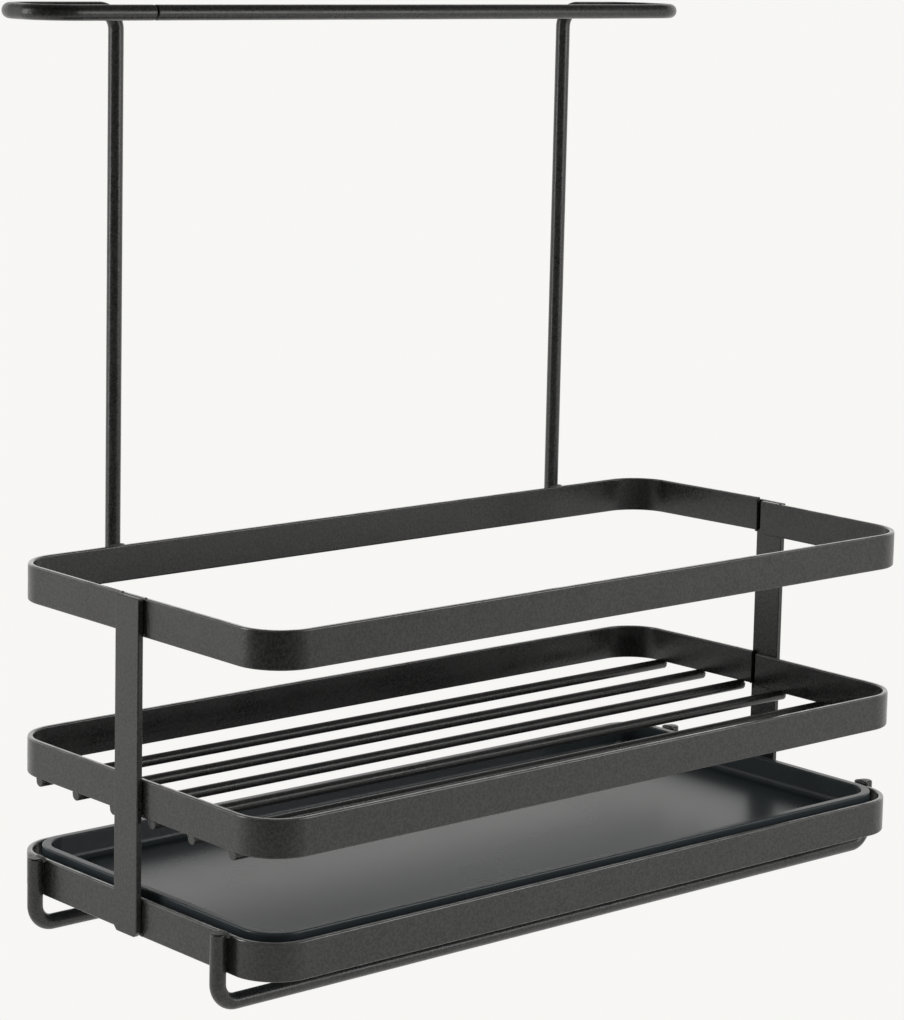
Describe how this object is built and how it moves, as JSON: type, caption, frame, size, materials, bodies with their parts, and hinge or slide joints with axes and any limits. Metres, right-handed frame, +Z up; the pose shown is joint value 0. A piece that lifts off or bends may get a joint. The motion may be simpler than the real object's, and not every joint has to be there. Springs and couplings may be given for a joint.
{
  "type": "dish drying rack",
  "caption": "Sink caddy and dish rack of flat bar rings and round wire, with a wire shelf, a lift-out drip tray and a towel bar on two legs.",
  "frame": {"origin": "on the floor, under the middle of the object's overall box", "axes": "+Z up, +X along the long side to the right-hand end, -Y to the front where the towel bar stands over the basket"},
  "size_m": [0.2918, 0.1404, 0.2941],
  "materials": {
    "powder_coat": "fine-textured satin black-grey powder coat",
    "tray_plastic": "satin moulded plastic, dark blue-grey"
  },
  "bodies": {
    "frame": {"bottom_band": "powder_coat", "middle_band": "powder_coat", "top_band": "powder_coat", "left_upright": "powder_coat", "right_upright": "powder_coat", "shelf_wire_1": "powder_coat", "shelf_wire_2": "powder_coat", "shelf_wire_3": "powder_coat", "shelf_wire_4": "powder_coat", "shelf_wire_5": "powder_coat", "shelf_wire_6": "powder_coat", "front_runner": "powder_coat", "back_runner": "powder_coat", "left_hanger_wire": "powder_coat", "right_hanger_wire": "powder_coat"},
    "tray": {"drip_tray": "tray_plastic"}
  },
  "joints": [
    {"name": "tray_lift", "type": "slide", "parent": "frame", "child": "tray", "axis": [0, 0, 1], "range_m": [0, 0.0195]}
  ]
}
